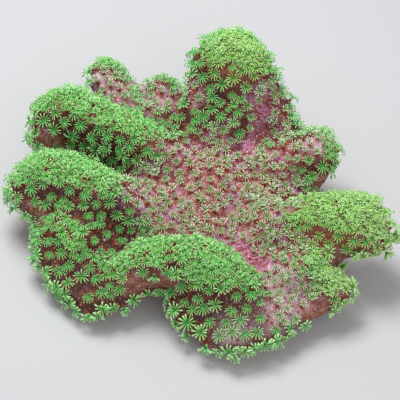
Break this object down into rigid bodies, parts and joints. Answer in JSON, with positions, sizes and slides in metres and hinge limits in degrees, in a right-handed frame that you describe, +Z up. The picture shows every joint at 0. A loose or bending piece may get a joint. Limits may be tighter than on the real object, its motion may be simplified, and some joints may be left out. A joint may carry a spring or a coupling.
{
  "type": "lobophytum leather coral",
  "caption": "Leather coral colony on a short stalk: a thick, dished cap whose edge rises into rounded fingers and a wavy front fold, covered with small open polyps.",
  "frame": {"origin": "centre of the flat cut under the stalk, on which the colony rests", "axes": "+Z up, square to the cut; -Y towards the colony's front fold; +X towards the long right lobe"},
  "size_m": [0.1165, 0.1035, 0.0472],
  "materials": {
    "polyp_flesh": "moist, soft, translucent green polyps crowded on pink skin",
    "bare_skin": "moist, leathery, grainy pink to brown skin"
  },
  "bodies": {
    "root": {"stalk": "bare_skin", "cap": "polyp_flesh", "tall_back_lobe": "polyp_flesh", "right_back_lobe": "polyp_flesh", "right_lobe": "polyp_flesh", "lower_right_lobe": "polyp_flesh", "front_lobe": "polyp_flesh", "lower_left_lobe": "polyp_flesh", "left_lobe": "polyp_flesh", "upper_left_lobe": "polyp_flesh", "back_left_lobe": "polyp_flesh", "small_back_lobe": "polyp_flesh"}
  },
  "joints": []
}
